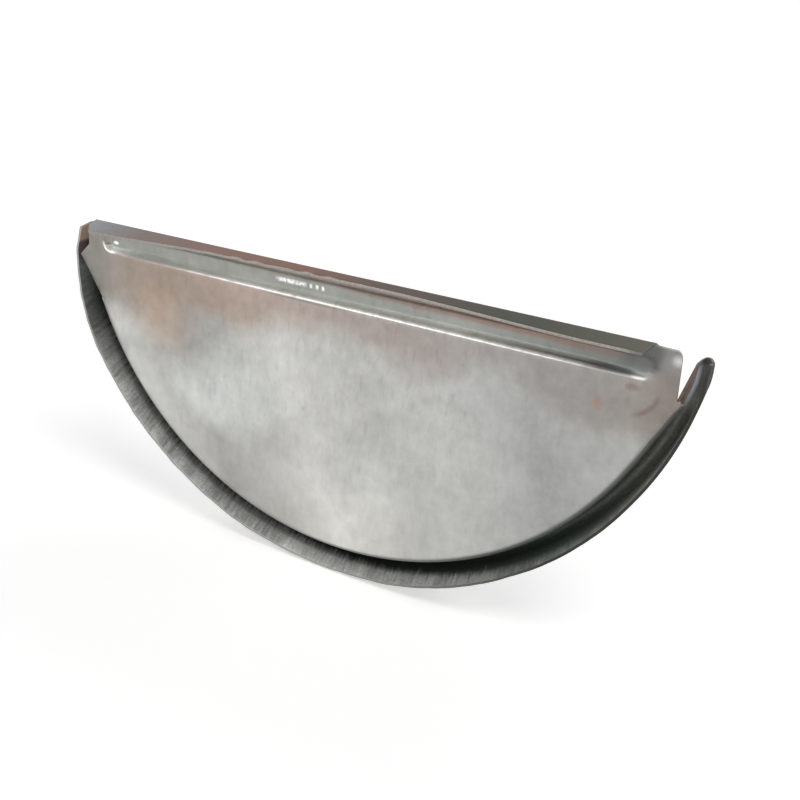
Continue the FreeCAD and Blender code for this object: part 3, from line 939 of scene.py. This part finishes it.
def plate_material():
    """Inner face of the plate: soft zinc spangle in painted reflection bands, darker to the right, and a
    painted warm reflection under the rib.
    """
    material, graph, shader = start_material("spangled_zinc")
    at = place_mm(graph)
    radius = off_axis(graph, at)
    crystal = spangle(graph, at.vector)
    cloud = noise_at(graph, at.vector, 0.035, 3.0)
    fine = noise_at(graph, at.vector, 0.5, 3.0, 0.6, (1.0, 1.0, 0.45))
    # Depth in the rib, as if it were pressed equally deep everywhere
    faded = graph.remap(at.x, FADE_START, FADE_END, 1.0, 1.0 - RIB_FADE, smooth=True)
    pressed = graph.math("DIVIDE", at.y, faded)
    base = plate_ground(graph, at, cloud)
    base = rib_shading(graph, at, base, pressed, cloud)
    base = tab_shading(graph, at, base, fine)
    bright = highlights_and_flecks(graph, at, pressed)
    # Painted highlights at the rib, with bright flecks
    base = graph.blend(bright, base, (0.97, 0.97, 0.95))
    base = stains_and_edge_shade(graph, at, base, radius, fine)
    base = graph.toned(base, plate_tone(graph, at, radius, crystal, fine))
    rough = graph.add(
        graph.remap(crystal, 0.0, 1.0, 0.36, 0.46),
        graph.spread(cloud, -0.03, 0.03),
        graph.times(bright, -0.16),
    )
    end_material(graph, shader, base, rough, 0.12, fine)
    return material


# Depths of the groove, dark from dirt and painted shade, nearly black on the left and lighter towards the
# finger
DEEP_STOPS = (
    (15.0, (0.042, 0.052, 0.044)),
    (50.0, (0.075, 0.095, 0.08)),
    (62.0, (0.13, 0.15, 0.125)),
    (72.0, (0.25, 0.25, 0.22)),
)


def finger_shading(graph, at, base, run):
    """Finger: a brown edge and a painted grey highlight beside the slot, with painted shade along its middle.
    """
    # Painted shade along the finger's middle, browner towards the lip
    right = graph.times(
        graph.remap(at.x, 73.0, 75.5, smooth=True), graph.remap(at.z, -19.0, -14.0, smooth=True), 0.9
    )
    outwards = graph.remap(run, FLOOR_END, FLOOR_END + 3.0)
    finger_shade = graph.blend(outwards, (0.085, 0.092, 0.090), (0.13, 0.095, 0.070))
    # Black painted shade at the top of the finger's round end
    tip_shade = graph.times(
        graph.remap(at.z, -10.4, -9.2, smooth=True),
        graph.remap(run, WALL_END + 0.72 * FLOOR_RUN, WALL_END + 0.55 * FLOOR_RUN),
        0.85,
    )
    finger_shade = graph.blend(tip_shade, finger_shade, (0.012, 0.013, 0.014))
    base = graph.blend(right, base, finger_shade)
    # Run counted from the finger's own edge beside the slot
    edge_run = graph.remap(at.z, -8.0, -14.0, WALL_END + 0.23 * FLOOR_RUN, WALL_END + 0.37 * FLOOR_RUN)
    inwards = graph.take(run, edge_run)
    finger = graph.times(graph.remap(at.x, 70.0, 72.0), graph.remap(at.z, -21.0, -17.0))
    brown = graph.times(finger, graph.remap(inwards, 0.15, -0.1))
    base = graph.blend(brown, base, (0.66, 0.50, 0.42))
    # Painted highlight beside the slot
    ridge = graph.times(
        graph.band(inwards, 0.0, 0.25, 0.45, 1.15), graph.remap(at.z, -8.4, -11.8, smooth=True), finger
    )
    return graph.blend(ridge, base, (0.72, 0.76, 0.80))


def groove_wear_and_shade(graph, at, run, streak, patch):
    """Colour of the groove's inside: dark deep down from dirt and painted shade, grey towards the lip from
    worn streaks and a painted reflection.
    """
    # The grey starts further from the groove's floor on the right than on the left
    start = graph.add(
        graph.remap(at.x, -20.0, 60.0, FLOOR_END + 1.2, FLOOR_END + 5.4), graph.spread(streak, 0.9, -0.9)
    )
    reach = graph.take(run, start)
    # Grey towards the lip: worn streaks and a painted reflection, fading to the right where the wall is in
    # painted shade
    lip_wear_and_light = graph.times(
        graph.remap(reach, -0.8, 3.4, smooth=True),
        graph.remap(at.x, 15.0, 60.0, 1.0, 0.30, smooth=True),
        graph.remap(at.x, -62.0, -75.5, 1.0, 0.22, smooth=True),
    )
    streaked = graph.remap(graph.add(streak, patch), 0.75, 1.25)
    grey = graph.blend(streaked, (0.36, 0.36, 0.335), (0.80, 0.80, 0.75))
    base = graph.blend(lip_wear_and_light, tone_along(graph, at.x, DEEP_STOPS), grey)
    base = graph.toned(base, graph.spread(noise_at(graph, at.vector, 1.6, 3.0, 0.7), 0.78, 1.22))
    scratch = graph.times(
        graph.remap(streak, 0.66, 0.74),
        graph.remap(reach, -2.0, 0.5),
        graph.remap(at.x, -66.0, -52.0),
        0.75,
    )
    base = graph.blend(scratch, base, (0.88, 0.88, 0.83))
    # Painted reflections at the groove's open left end: a lit brown facet, with a dark maroon patch under it
    left = graph.remap(at.x, -74.5, -76.5, smooth=True)
    maroon = graph.times(left, graph.remap(at.z, -18.5, -15.5, smooth=True), 0.85)
    base = graph.blend(maroon, base, (0.060, 0.030, 0.030))
    upper = graph.times(left, graph.remap(at.z, -12.6, -11.4, smooth=True))
    base = graph.blend(upper, base, (0.34, 0.24, 0.175))
    return finger_shading(graph, at, base, run)


def rim_material():
    """Inside of the groove, with painted shade on the roll of its edge beside the plate, darker to the right.
    """
    material, graph, shader = start_material("groove_zinc", 0.35)
    at = place_mm(graph)
    run = kept_value(graph, "run")
    lean = graph.add(graph.times(kept_value(graph, "turn"), 75.0), graph.times(run, 0.25))
    strip = graph.point(lean, graph.times(run, 0.10), 0.0)
    streak = noise_at(graph, strip, 1.1, 3.0, 0.65)
    patch = noise_at(graph, strip, 0.14, 2.0)
    base = groove_wear_and_shade(graph, at, run, streak, patch)
    # Painted shade on the bend beside the plate, light on the left and dark on the right
    bend = graph.remap(run, 0.35 * BEND_RUN, BEND_RUN, 1.0, 0.0, smooth=True)
    roll = graph.blend(graph.remap(at.x, 0.0, 40.0), (0.46, 0.46, 0.44), (0.15, 0.155, 0.14))
    base = graph.blend(bend, base, roll)
    end_material(graph, shader, base, graph.spread(streak, 0.42, 0.58), 0.25, streak)
    return material


# Colour of the flange's top, and the tint of its mirroring
TOP_STOPS = (
    (-70.0, (0.30, 0.305, 0.318)),
    (-53.56, (0.215, 0.195, 0.182)),
    (-37.12, (0.212, 0.152, 0.135)),
    (-6.98, (0.185, 0.122, 0.100)),
    (12.2, (0.100, 0.078, 0.070)),
    (39.6, (0.063, 0.063, 0.053)),
    (67.0, (0.085, 0.080, 0.067)),
)
TINT_STOPS = (
    (-70.0, (0.94, 0.96, 1.0)),
    (-48.0, (0.86, 0.70, 0.68)),
    (-30.0, (0.86, 0.66, 0.59)),
    (-8.0, (0.86, 0.66, 0.58)),
    (14.0, (0.70, 0.62, 0.60)),
    (40.0, (0.72, 0.74, 0.70)),
    (67.0, (0.78, 0.79, 0.74)),
)


def outer_material():
    """Outer side of the sheet: plain spangle, a brown flange top, darker to the right, and painted shade on
    the finger.
    """
    material, graph, shader = start_material("outer_zinc")
    at = place_mm(graph)
    radius = off_axis(graph, at)
    crystal = spangle(graph, at.vector)
    cloud = noise_at(graph, at.vector, 0.05, 3.0)
    fine = noise_at(graph, at.vector, 0.6, 3.0, 0.6)
    plain = graph.blend(graph.spread(cloud, 0.0, 1.0), (0.50, 0.50, 0.48), (0.60, 0.60, 0.585))
    top = graph.times(
        graph.remap(at.z, -6.9, -6.2, smooth=True), graph.remap(at.y, -0.2, 0.7, 1.0, 0.0)
    )
    base = graph.blend(top, plain, tone_along(graph, at.x, TOP_STOPS))
    tone = graph.add(graph.remap(crystal, 0.0, 1.0, 0.92, 1.06), graph.spread(fine, -0.04, 0.04))
    base = graph.toned(base, tone)
    in_slot = graph.times(
        graph.remap(at.x, 72.5, 73.5),
        graph.remap(at.z, -20.5, -18.8),
        graph.remap(radius, 77.4, 76.9),
        graph.remap(at.y, 8.6, 8.1),
    )
    base = graph.blend(in_slot, base, (0.34, 0.25, 0.205))
    # Painted shade on the finger's outer face, fading downwards; its finish is also duller there
    dull = graph.times(
        graph.remap(graph.add(at.z, graph.spread(cloud, -3.0, 3.0)), -27.0, -13.0, smooth=True),
        graph.remap(at.x, 66.0, 72.0),
        graph.remap(radius, 78.2, 78.5),
    )
    base = graph.blend(dull, base, (0.060, 0.052, 0.042))
    tint = graph.blend(top, (1.0, 1.0, 1.0), tone_along(graph, at.x, TINT_STOPS))
    metallic = graph.times(graph.take(1.0, dull), graph.remap(top, 0.0, 1.0, 1.0, 0.75))
    graph.feed(shader.inputs["Specular Tint"], tint)
    graph.feed(shader.inputs["Metallic"], metallic)
    graph.feed(shader.inputs["Specular IOR Level"], DULL_SPECULAR)
    rough = graph.add(
        graph.remap(crystal, 0.0, 1.0, 0.33, 0.44), graph.times(top, 0.15), graph.times(dull, 0.42)
    )
    end_material(graph, shader, base, rough, 0.12, fine)
    return material


def cut_material():
    """Sheared edges: bare, slightly burred steel, dull along the rim's lip."""
    material, graph, shader = start_material("sheared_edge")
    at = place_mm(graph)
    run = kept_value(graph, "run")
    grain = noise_at(graph, at.vector, 1.6, 3.0, 0.6)
    base = graph.blend(graph.spread(grain, 0.0, 1.0), (0.28, 0.253, 0.228), (0.44, 0.405, 0.378))
    on_rim = graph.remap(run, 1.0, 2.0)
    lip = graph.blend(graph.remap(at.x, 0.0, 55.0), (0.38, 0.38, 0.355), (0.055, 0.054, 0.047))
    base = graph.blend(on_rim, base, lip)
    slot = graph.times(
        graph.remap(at.x, 71.8, 72.6),
        graph.remap(run, FLOOR_END - 1.6, FLOOR_END - 0.8, 1.0, 0.0),
        graph.band(at.z, -20.5, -18.8, -7.4, -6.4),
    )
    base = graph.blend(slot, base, (0.30, 0.215, 0.175))
    ear = graph.times(
        graph.remap(at.x, -64.0, -68.0),
        graph.band(at.z, -34.0, -28.0, -14.0, -12.0),
        graph.remap(run, 1.5, 0.5),
    )
    base = graph.blend(ear, base, (0.80, 0.79, 0.76))
    # Painted shade on the flange's slotted end
    flange_end = graph.times(graph.band(at.x, 63.5, 65.5, 68.5, 69.5), graph.remap(at.z, -9.5, -8.8))
    base = graph.blend(flange_end, base, (0.20, 0.205, 0.197))
    dark = graph.times(on_rim, graph.remap(at.x, 20.0, 60.0))
    graph.feed(shader.inputs["Metallic"], graph.remap(dark, 0.0, 1.0, 0.6, 0.0))
    graph.feed(shader.inputs["Specular IOR Level"], DULL_SPECULAR)
    end_material(graph, shader, base, graph.spread(grain, 0.42, 0.58), 0.2, grain, 0.0002)
    return material


# Stage, in metres


FLOOR_HALF = 3.0
FLOOR_GAP = 0.0002
# Lamps by name: place, size and power
LAMPS = (
    ("key", (0.35, -0.25, 0.75), 0.35, 2.4),
    ("front", (-0.20, -0.72, 0.30), 0.20, 0.5),
    ("fill", (-0.6, -0.5, 0.5), 0.6, 0.8),
    ("back", (0.1, 0.7, 0.6), 0.6, 1.3),
)
LAMP_AIM = (0.0, 0.0, -0.04)
# The photograph's view, fitted to the cap: place in millimetres and the picture's two directions
CAMERA_PLACE = (90.6, -164.3, 50.2)
CAMERA_RIGHT = (0.8923, 0.4446, 0.0781)
CAMERA_UP = (-0.2467, 0.3355, 0.9091)
SENSOR_WIDTH = 36.0
LENS_LENGTH = 40.05


def background_rays(graph):
    """One for the rays that see the white background: straight, mirrored or through glass."""
    paths = graph.node("ShaderNodeLightPath").outputs
    return graph.most(paths["Is Camera Ray"], paths["Is Glossy Ray"], paths["Is Transmission Ray"])


def build_floor():
    """A pale floor that shows white to the camera and keeps the cap's soft shadow."""
    half, level = FLOOR_HALF, cad_low.z - FLOOR_GAP
    mesh = bpy.data.meshes.new("floor")
    corners = [(x * half, y * half, level) for x, y in ((-1, -1), (1, -1), (1, 1), (-1, 1))]
    mesh.from_pydata(corners, [], [(0, 1, 2, 3)])
    floor = bpy.data.objects.new("floor", mesh)
    bpy.context.scene.collection.objects.link(floor)
    material = bpy.data.materials.new("pale_floor")
    graph = empty_graph(material)
    diffuse = graph.node("ShaderNodeBsdfDiffuse", {"Color": (0.92, 0.91, 0.885)}).outputs[0]
    away = graph.distance(graph.node("ShaderNodeTexCoord").outputs["Object"], (0.0, 0.0, level))
    strength = graph.remap(away, 0.20, 0.65, 0.35, 1.0, smooth=True)
    glow = graph.node("ShaderNodeEmission", {"Color": (1.0, 1.0, 1.0), "Strength": strength})
    both = graph.node("ShaderNodeAddShader", {0: diffuse, 1: glow.outputs[0]})
    mixed = graph.node("ShaderNodeMixShader", {0: background_rays(graph), 1: diffuse, 2: both.outputs[0]})
    graph.node("ShaderNodeOutputMaterial", {0: mixed.outputs[0]})
    mesh.materials.append(material)


def light_stage():
    """White surroundings and soft lamps from above and the right."""
    world = bpy.data.worlds.new("studio")
    bpy.context.scene.world = world
    graph = empty_graph(world)
    soft = graph.node("ShaderNodeBackground", {"Color": (0.92, 0.94, 1.0), "Strength": 0.40})
    white = graph.node("ShaderNodeBackground", {"Color": (1.0, 1.0, 1.0), "Strength": 1.0})
    mixed = graph.node(
        "ShaderNodeMixShader", {0: background_rays(graph), 1: soft.outputs[0], 2: white.outputs[0]}
    )
    graph.node("ShaderNodeOutputWorld", {0: mixed.outputs[0]})
    for name, place, size, watts in LAMPS:
        lamp = bpy.data.lights.new(name, "AREA")
        lamp.size = size
        lamp.energy = watts
        holder = bpy.data.objects.new(name, lamp)
        holder.location = place
        aim = Vector(LAMP_AIM) - Vector(place)
        holder.rotation_euler = aim.to_track_quat("-Z", "Y").to_euler()
        bpy.context.scene.collection.objects.link(holder)


def set_camera():
    """The photograph's view: in front, a little to the right and above."""
    lens = bpy.data.cameras.new("photo_view")
    lens.sensor_width = SENSOR_WIDTH
    lens.lens = LENS_LENGTH
    lens.clip_start = 0.01
    camera = bpy.data.objects.new("photo_view", lens)
    bpy.context.scene.collection.objects.link(camera)
    right = Vector(CAMERA_RIGHT).normalized()
    back = right.cross(Vector(CAMERA_UP).normalized()).normalized()
    turn = camera.matrix_world.to_3x3()
    turn.col[0], turn.col[1], turn.col[2] = right, back.cross(right), back
    camera.matrix_world = turn.to_4x4()
    camera.location = Vector(CAMERA_PLACE) * MM
    bpy.context.scene.camera = camera


materials = {
    "plate": plate_material(),
    "rim": rim_material(),
    "outer": outer_material(),
    "cut": cut_material(),
}
cap = build_cap(materials)
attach(cap, "root")
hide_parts("end_cap")
build_floor()
light_stage()
set_camera()
bpy.context.scene.view_settings.view_transform = "Standard"
